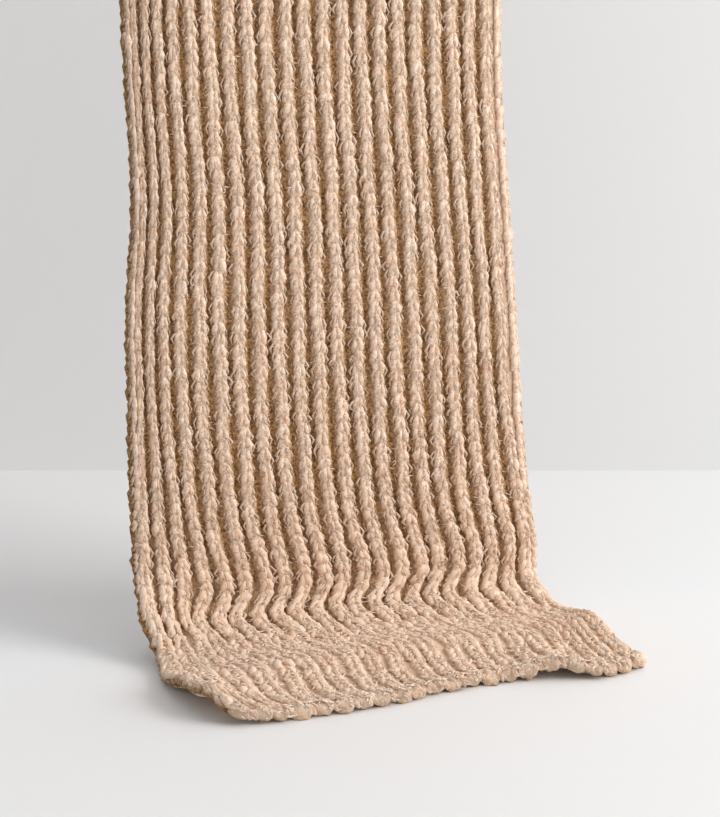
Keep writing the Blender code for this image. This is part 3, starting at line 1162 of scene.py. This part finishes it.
@dataclass(frozen=True)
class Tucks:
    """The loose loops of yarn that bulge from each rib's flanks over the valleys and curl back.

    Heights are in rows, and places beside a rib's middle in rib pitches.
    """

    material: bpy.types.Material
    yarn: YarnLength
    wales: Wales
    radius: float = 1.0
    radius_range: tuple[float, float] = (0.6, 1.25)
    rises: float = 0.42
    bows: float = -0.2
    falls: float = 0.62
    falls_uneven: float = 0.3
    flank: float = 0.17
    curl: float = 0.03
    reach: float = 0.54
    reach_uneven: float = 0.11
    flank_depth: float = 2.3
    bow_depth: float = 2.3
    bow_fill: float = 0.4
    valley_depth: float = 0.3
    uneven: float = 2.0
    depth_uneven: tuple[float, float, float] = (0.25, 0.5, 0.4)
    sunlit: float = 0.1
    sunlit_uneven: float = 0.25
    most_sunlit: float = 0.85

    def strands(self, stretch: Stretch, face: Face, seed: int) -> Strands:
        """The loops of one face of a stretch.

        Args:
            stretch: The stretch.
            face: The face.
            seed: What its wales were started with.

        Returns:
            The loops as strands.
        """
        random = np.random.default_rng(seed + 7)
        arc, wale, lift, row = self.wales.stitches(stretch, face, seed).repeat(2, axis=0).T
        count = len(arc)
        side = np.tile((-1.0, 1.0), count // 2)
        loose = random.standard_normal((4, count))
        plump = LAY.read("plump", arc)
        fill = LAY.read("fill", arc)

        def spot(up: Numbers, aside: Numbers, depth: Numbers, free: float) -> np.ndarray:
            """A point of each loop."""
            out = (depth + lift + (plump - 1.0) * LAY.plumped + loose[0] * free) * face.value
            return spots(arc + up * row + loose[1] * self.uneven, wale + side * aside, out)

        reach = self.reach + self.reach_uneven * loose[2]
        fall = self.falls * (1.0 + self.falls_uneven * loose[3])
        high, over, low = self.depth_uneven
        return Strands(
            start=spot(self.rises, self.flank, self.flank_depth, high),
            bow=spot(self.bows, reach, self.bow_depth + self.bow_fill * fill, over),
            end=spot(-fall, self.flank + self.curl, self.valley_depth + fill, low),
            radius=self.radius * plump * random.uniform(*self.radius_range, count),
            face=face,
            sunlit=np.clip(self.sunlit + self.sunlit_uneven * loose[3], 0.0, self.most_sunlit),
        )

    def build(self, stretch: Stretch, face: Face, seed: int) -> bpy.types.Object:
        """Make the loops of one face of a stretch as one piece."""
        parts = self.strands(stretch, face, seed).lay(self.yarn, seed + 8)
        return parts.make(f"{stretch.name}_{face.name.lower()}_tucks", self.material)


@dataclass(frozen=True)
class Fuzz:
    """The loose fibres of the brushed yarn: thin hairs over the ribs and beside them.

    Places beside a rib's middle are in rib pitches.
    """

    material: bpy.types.Material
    hair: YarnLength
    share: float = 1.0
    scatter: float = 0.2
    widest: float = 0.42
    radius: float = 0.38
    radius_range: tuple[float, float] = (0.6, 1.3)
    length: float = 5.0
    length_range: tuple[float, float] = (0.45, 1.25)
    crest_depth: float = 4.8
    crest_shape: float = 1.3
    valley_depth: float = 0.5
    bead_depth: float = 5.6
    bead_arc: float = 3.7
    bead_reach: float = 9.0
    bead_fade: float = 3.0
    least_round: float = 0.04
    tips: tuple[float, float, float] = (-0.5, 0.1, -0.1)
    slant_deg: float = 18.0
    flank_slant: float = 2.0
    scatter_deg: float = 34.0
    proud: float = 0.18
    sunlit: float = 0.75
    sunlit_fall: float = 2.0
    sunlit_to: float = 0.16
    sunlit_uneven: float = 0.15
    tone: float = 0.6
    tone_uneven: tuple[float, float] = (1.2, -0.4)  # its spread, and what more plumpness adds to it
    edge_rows: tuple[float, ...] = (-0.8, 0.8, 2.8, 5.0, 7.5)

    def surface(self, arc: np.ndarray, aside: np.ndarray) -> np.ndarray:
        """How far out the yarn's surface lies.

        Args:
            arc: Distances along the cloth.
            aside: Places beside the middle of a rib.

        Returns:
            The depths, outwards.
        """
        wave = np.abs(np.cos(math.pi * np.clip(aside, -1.0, 1.0))) ** self.crest_shape
        valley = self.valley_depth + LAY.read("fill", arc)
        crest = self.crest_depth + (LAY.read("plump", arc) - 1.0) * LAY.plumped
        plain = valley + (crest - valley) * wave
        from_end = np.minimum(arc, FORM.length - arc)
        round_off = 1.0 - ((self.bead_arc - from_end) / self.bead_depth) ** 2
        bead = self.bead_depth * np.sqrt(np.clip(round_off, self.least_round, 1.0))
        return plain + (bead - plain) * smooth((self.bead_reach - from_end) / self.bead_fade)

    def strands(self, stretch: Stretch, face: Face, seed: int) -> Strands:
        """The hairs over one face of a stretch.

        Args:
            stretch: The stretch.
            face: The face.
            seed: Starts the random draws.

        Returns:
            The hairs as strands.
        """
        random = np.random.default_rng(seed)
        rows = LAY.rows(stretch)
        if stretch is STRETCHES[0]:
            rows = np.concatenate((self.edge_rows, rows))
        if stretch is STRETCHES[-1]:
            rows = np.concatenate((rows, FORM.length - np.array(self.edge_rows)))
        arc, wale = every(rows, LAY.wales(face))
        wanted = LAY.read("hairs", arc) * self.share
        copies = np.floor(wanted + random.random(len(arc))).astype(int)
        arc, wale = arc.repeat(copies), wale.repeat(copies)
        count = len(arc)
        row = LAY.read("row", arc)
        pitch = FORM.pitch(arc)
        arc = arc + row * random.uniform(-0.5, 0.5, count)
        aside = np.clip(self.scatter * random.standard_normal(count), -self.widest, self.widest)
        slant = self.slant_deg * np.sign(aside) * (1.0 + np.abs(aside) * self.flank_slant)
        plump = LAY.read("plump", arc)
        slant = np.radians(slant + self.scatter_deg * plump**2 * random.standard_normal(count))
        half = 0.5 * self.length * plump * random.uniform(*self.length_range, count)
        lifts = random.uniform(0.0, self.proud, (3, count)) + np.array(self.tips)[:, None]
        up, over = half * np.cos(slant), half * np.sin(slant) / pitch

        def spot(share: float, lift: np.ndarray) -> np.ndarray:
            """A point of each hair, from -1 at its top to 1 at its foot."""
            at, beside = arc - share * up, aside + share * over
            return spots(at, wale + beside, (self.surface(at, beside) + lift) * face.value)

        radius = self.radius * plump * random.uniform(*self.radius_range, count)
        sunlit = self.sunlit - self.sunlit_fall * np.maximum(np.abs(aside) - self.sunlit_to, 0.0)
        sunlit = sunlit + self.sunlit_uneven * random.standard_normal(count)
        spread = self.tone_uneven[0] + self.tone_uneven[1] * plump
        return Strands(
            start=spot(-1.0, lifts[0]),
            bow=spot(0.0, lifts[1]),
            end=spot(1.0, lifts[2]),
            radius=radius,
            face=face,
            sunlit=np.clip(sunlit, 0.0, 1.0),
            tone=self.tone + spread * random.standard_normal(count),
        )

    def build(self, stretch: Stretch, face: Face, seed: int) -> bpy.types.Object:
        """Make the hairs over one face of a stretch as one piece."""
        parts = self.strands(stretch, face, seed).lay(self.hair, seed + 1, 0.0)
        return parts.make(f"{stretch.name}_{face.name.lower()}_fuzz", self.material)


@dataclass(frozen=True)
class Selvages:
    """The side edges: a loop of yarn round the edge at each row, with a cord of stitches inside.

    A pair of tips says where the loops' outermost yarn runs where the scarf lies and where it
    hangs, in rib pitches from the first or the last rib. Each spot of a loop or a cord is (rows
    up, rib pitches in from the tip, depth).
    """

    material: bpy.types.Material
    shaded: bpy.types.Material
    yarn: YarnLength
    left_tips: tuple[float, float] = (-0.52, -0.93)
    right_tips: tuple[float, float] = (0.67, 1.15)
    hangs_over: float = 135.0
    cord_from: float = 0.3
    loop: tuple[Spot, Spot, Spot] = ((0.85, 0.34, 2.2), (0.0, -0.06, 0.4), (-0.85, 0.30, -2.2))
    cord: tuple[Spot, Spot, Spot] = ((0.75, 0.42, 1.8), (0.1, 0.36, 3.6), (-0.75, 0.50, 0.6))
    radius: float = 2.1
    cord_radius: float = 1.15
    flare: float = 0.18
    tuck_under: float = 1.4
    uneven: tuple[float, float, float] = (0.5, 0.025, 0.3)
    radius_uneven: float = 0.12
    roughness: float = 0.14
    cord_roughness: float = 0.13
    right_sunlit: float = 0.6
    cord_sunlit: float = 0.5
    shade: float = 3.0  # how much more the left edge is shaded than the valleys are

    def build(self, stretch: Stretch, seed: int) -> list[bpy.types.Object]:
        """Make the loops along both edges of a stretch, and the cords inside them.

        Args:
            stretch: The stretch.
            seed: Starts the random unevenness.

        Returns:
            The new pieces. A stretch that lies has no cords.
        """
        random = np.random.default_rng(seed)
        arc, right = every(LAY.rows(stretch), np.array((0.0, 1.0)))
        count = len(arc)
        row = LAY.read("row", arc)
        hanging = smooth((arc - FORM.lying_spread_to) / self.hangs_over)
        (left_lying, left_hung), (right_lying, right_hung) = self.left_tips, self.right_tips
        left_tip = left_lying + (left_hung - left_lying) * hanging
        right_tip = FORM.ribs - 1 + right_lying + (right_hung - right_lying) * hanging
        tip = left_tip + (right_tip - left_tip) * right
        loose = random.standard_normal((3, count)) * np.array(self.uneven)[:, None]
        radius = self.radius * LAY.read("plump", arc)
        radius = radius * (1.0 + self.radius_uneven * random.standard_normal(count))

        def spot(place: Spot) -> np.ndarray:
            """A point of each loop or cord."""
            rib = tip + (1.0 - 2.0 * right) * (place[1] + loose[1])
            return spots(arc + place[0] * row + loose[0], rib, place[2] + loose[2])

        start, bow, end = (spot(place) for place in self.loop)
        bow[:, 1] -= self.flare * hanging * (1.0 - right)
        bow[:, 2] -= self.tuck_under * hanging * (1.0 - right)
        sunlit = self.right_sunlit * right - (self.shade - hanging) * (1.0 - right)
        parts = Strands(start, bow, end, radius, sunlit=sunlit).lay(self.yarn, seed + 1, self.roughness)
        pieces = [parts.make(stretch.name + "_selvages", self.shaded)]
        hangs = hanging > self.cord_from
        if hangs.any():
            start, bow, end = (spot(place)[hangs] for place in self.cord)
            cord = Strands(start, bow, end, radius[hangs] * self.cord_radius, sunlit=self.cord_sunlit)
            parts = cord.lay(self.yarn, seed + 2, self.cord_roughness)
            pieces.append(parts.make(stretch.name + "_cords", self.material))
        return pieces


@dataclass(frozen=True)
class BeadedEdge:
    """A cast-off edge: a chain of plump beads, one a rib, with two loops of yarn over each.

    Each spot of a bead or a loop is (along the cloth, rib pitches aside, depth).
    """

    material: bpy.types.Material
    bead: YarnLength
    yarn: YarnLength
    inset: float = 3.7
    first: float = -0.05
    crowding: float = 0.45
    beads: tuple[Spot, Spot, Spot] = ((1.9, -0.41, 0.0), (-0.9, 0.0, 0.5), (1.2, 0.41, 0.0))
    loops: tuple[Spot, Spot, Spot] = ((7.5, -0.20, 2.8), (0.2, -0.05, 6.6), (-4.6, 0.10, -0.8))
    gap_loops: tuple[Spot, Spot, Spot] = ((7.0, 0.40, 1.8), (0.5, 0.47, 4.6), (-3.2, 0.52, -1.6))
    bead_radius: float = 4.5
    bead_roughness: float = 0.12
    loop_radius: float = 1.9
    loop_roughness: float = 0.14
    loop_sunlit: float = 0.6
    uneven: float = 0.12
    loop_uneven: float = 0.1
    scatter: tuple[float, float, float] = (0.6, 0.06, 0.35)

    def strands(self, turned: bool, seed: int) -> tuple[Strands, Strands]:
        """The beads and the loops over them. The last rib has no loop in the gap beside it.

        Args:
            turned: Whether this is the back edge, where the cloth ends at its full length.
            seed: Starts the random unevenness.

        Returns:
            The beads, and the loops.
        """
        random = np.random.default_rng(seed)
        ribs = np.arange(FORM.ribs + 1) * (FORM.ribs - self.crowding) / FORM.ribs + self.first
        count = len(ribs)
        inward = -1.0 if turned else 1.0
        base = FORM.length if turned else 0.0
        loose = random.standard_normal((4, count))
        along, beside, out = (loose[axis] * spread for axis, spread in enumerate(self.scatter))

        def spot(place: Spot) -> np.ndarray:
            """A point of each bead or loop."""
            arc = base + inward * (self.inset + place[0] + along)
            return spots(arc, ribs + place[1] + beside, place[2] + out)

        radius = self.bead_radius * (1.0 + self.uneven * loose[3])
        beads = Strands(*(spot(place) for place in self.beads), radius)
        pairs = zip(self.loops, self.gap_loops)
        loops = [np.concatenate((spot(over), spot(gap)[:-1])) for over, gap in pairs]
        radii = self.loop_radius * (1.0 + self.loop_uneven * random.standard_normal(2 * count - 1))
        return beads, Strands(*loops, radii, sunlit=self.loop_sunlit)

    def build(self, name: str, turned: bool, seed: int) -> bpy.types.Object:
        """Make a beaded edge in place of its plain solid.

        Args:
            name: The plain solid's name.
            turned: Whether this is the back edge.
            seed: Starts the random unevenness.

        Returns:
            The new piece.
        """
        beads, loops = self.strands(turned, seed)
        parts = beads.lay(self.bead, seed + 1, self.bead_roughness)
        parts = parts.joined(loops.lay(self.yarn, seed + 2, self.loop_roughness))
        piece = parts.make(name + "_stitches", self.material, Slot.EDGE)
        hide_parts(name)
        return piece


# Each stretch has its own seed, each kind of piece adds a number to it, and each edge has its own
STRETCH_SEED = 100
FUZZ_SEED, SELVAGE_SEED, INNER_SEED, INNER_FUZZ_SEED = 60, 20, 40, 80
FRONT_EDGE_SEED, BACK_EDGE_SEED = 900, 950


class Scarf:
    """The whole dressed scarf, stretch by stretch."""

    def __init__(self) -> None:
        """Make the finishes and the modelled lengths of yarn that its parts share."""
        rib_wool, edge_wool, ground_wool = RIB_WOOL.make(), EDGE_WOOL.make(), GROUND_WOOL.make()
        self.ground = Ground(ground_wool)
        self.wales = {
            Face.OUTER: Wales(rib_wool, YarnLength.model(8, 4, bury=FLAT_BACK)),
            Face.INNER: Wales(rib_wool, YarnLength.model(4, 3, bury=FLAT_BACK)),
        }
        loop_wool = LOOP_WOOL.make()
        self.tucks = {
            Face.OUTER: Tucks(loop_wool, YarnLength.model(3, 4), self.wales[Face.OUTER]),
            Face.INNER: Tucks(loop_wool, YarnLength.model(3, 3), self.wales[Face.INNER]),
        }
        hair, hair_wool = YarnLength.model_hair(), HAIR_WOOL.make()
        self.fuzz = {
            Face.OUTER: Fuzz(hair_wool, hair),
            Face.INNER: Fuzz(hair_wool, hair, share=0.15),
        }
        self.selvages = Selvages(rib_wool, ground_wool, YarnLength.model(6, 4))
        self.edge = BeadedEdge(edge_wool, YarnLength.model(12, 8, 0.5), YarnLength.model(8, 6))

    def dress(self, stretch: Stretch, seed: int) -> list[bpy.types.Object]:
        """Make what is knitted on the ground of one stretch.

        Args:
            stretch: The stretch.
            seed: Starts the random unevenness.

        Returns:
            The new pieces.
        """
        knit = [
            self.wales[Face.OUTER].build(stretch, Face.OUTER, seed),
            self.tucks[Face.OUTER].build(stretch, Face.OUTER, seed),
            self.fuzz[Face.OUTER].build(stretch, Face.OUTER, seed + FUZZ_SEED),
            *self.selvages.build(stretch, seed + SELVAGE_SEED),
        ]
        if stretch.ribbed_back:
            knit.append(self.wales[Face.INNER].build(stretch, Face.INNER, seed + INNER_SEED))
            if stretch is not STRETCHES[-1]:
                knit.append(self.tucks[Face.INNER].build(stretch, Face.INNER, seed + INNER_SEED))
            knit.append(self.fuzz[Face.INNER].build(stretch, Face.INNER, seed + INNER_FUZZ_SEED))
        if stretch is STRETCHES[0]:
            knit.append(self.edge.build("front_beaded_edge", False, FRONT_EDGE_SEED))
        if stretch is STRETCHES[-1]:
            knit.append(self.edge.build("back_beaded_edge", True, BACK_EDGE_SEED))
        return knit

    def build(self) -> None:
        """Make every stretch: its ground, and what is knitted on it."""
        for number, stretch in enumerate(STRETCHES):
            base = self.ground.build(stretch)
            knit = self.dress(stretch, STRETCH_SEED * (number + 1))


# --------------------------------------------------------------------------- the studio


@dataclass(frozen=True)
class Lamp:
    """A soft square lamp, in metres and watts."""

    name: str
    place: tuple[float, float, float]
    power: float
    colour: Colour
    size: float = 2.2
    aim: tuple[float, float, float] = (0.02, -0.05, -0.80)

    def build(self) -> None:
        """Add the lamp, turned to its aim."""
        data = bpy.data.lights.new(self.name, "AREA")
        data.size = self.size
        data.energy = self.power
        data.color = self.colour
        lamp = bpy.data.objects.new(self.name, data)
        lamp.location = self.place
        aim = Vector(self.aim) - Vector(self.place)
        lamp.rotation_euler = aim.to_track_quat("-Z", "Y").to_euler()
        bpy.context.scene.collection.objects.link(lamp)


@dataclass(frozen=True)
class Studio:
    """The floor, the wall, the soft light and the camera, in metres."""

    focal_pixels: float = 2600.0
    picture_height: float = 817.0
    sensor: float = 36.0
    clip: tuple[float, float] = (0.05, 50.0)
    pitch_deg: float = 12.0
    heading_deg: float = 22.96
    eye: tuple[float, float, float] = (-0.5994, -1.5034, -0.5354)
    wall_distance: float = 2.04
    wall_size: float = 12.0
    floor: PlainFinish = PlainFinish("pale_floor", (0.84, 0.84, 0.84))
    wall: PlainFinish = PlainFinish("pale_wall", (0.84, 0.84, 0.84), one_sided=True)
    lamps: tuple[Lamp, ...] = (
        Lamp("key_lamp", (2.4, -2.3, 1.0), 106.0, (1.0, 0.985, 0.965)),
        Lamp("top_lamp", (0.0, -0.9, 2.2), 13.0, (0.985, 0.99, 1.0)),
    )
    room_colour: Colour = (0.95, 0.97, 1.0)
    room_light: float = 0.45

    def camera(self) -> None:
        """Make the camera."""
        data = bpy.data.cameras.new("camera")
        data.lens = self.focal_pixels * self.sensor / self.picture_height
        data.sensor_width = self.sensor
        data.clip_start, data.clip_end = self.clip
        eye = bpy.data.objects.new("camera", data)
        eye.location = self.eye
        pitch = math.radians(90.0 - self.pitch_deg)
        eye.rotation_euler = (pitch, 0.0, -math.radians(self.heading_deg))
        bpy.context.scene.collection.objects.link(eye)
        bpy.context.scene.camera = eye

    def plane(
        self, name: str, place: Sequence[float], turn: Sequence[float], finish: PlainFinish
    ) -> None:
        """Add a large plain surface of the studio.

        Args:
            name: Its name.
            place: Its middle.
            turn: Its rotation.
            finish: Its finish.
        """
        bpy.ops.object.select_all(action="DESELECT")
        bpy.ops.mesh.primitive_plane_add(size=self.wall_size, location=place, rotation=turn)
        surface = bpy.context.object
        surface.name = name
        surface.data.materials.append(finish.make())

    def build(self) -> None:
        """Make the whole studio."""
        self.camera()
        heading = math.radians(self.heading_deg)
        ahead = (math.sin(heading), math.cos(heading))
        floor_z = -FORM.drop * MM
        self.plane("floor", (0, 0, floor_z), (0, 0, 0), self.floor)
        wall_at = [self.eye[axis] + ahead[axis] * self.wall_distance for axis in (0, 1)]
        self.plane("backdrop", (*wall_at, floor_z), (math.pi / 2.0, 0.0, -heading), self.wall)
        for lamp in self.lamps:
            lamp.build()
        world = bpy.data.worlds.new("soft_room")
        world.use_nodes = True
        room = world.node_tree.nodes["Background"]
        room.inputs["Color"].default_value = (*self.room_colour, 1.0)
        room.inputs["Strength"].default_value = self.room_light
        bpy.context.scene.world = world
        bpy.context.scene.view_settings.view_transform = "Standard"


def main() -> None:
    """Dress the frame."""
    logging.basicConfig(level=logging.INFO, format="%(name)s: %(message)s")
    Studio().build()
    Scarf().build()


if __name__ == "__main__":
    main()
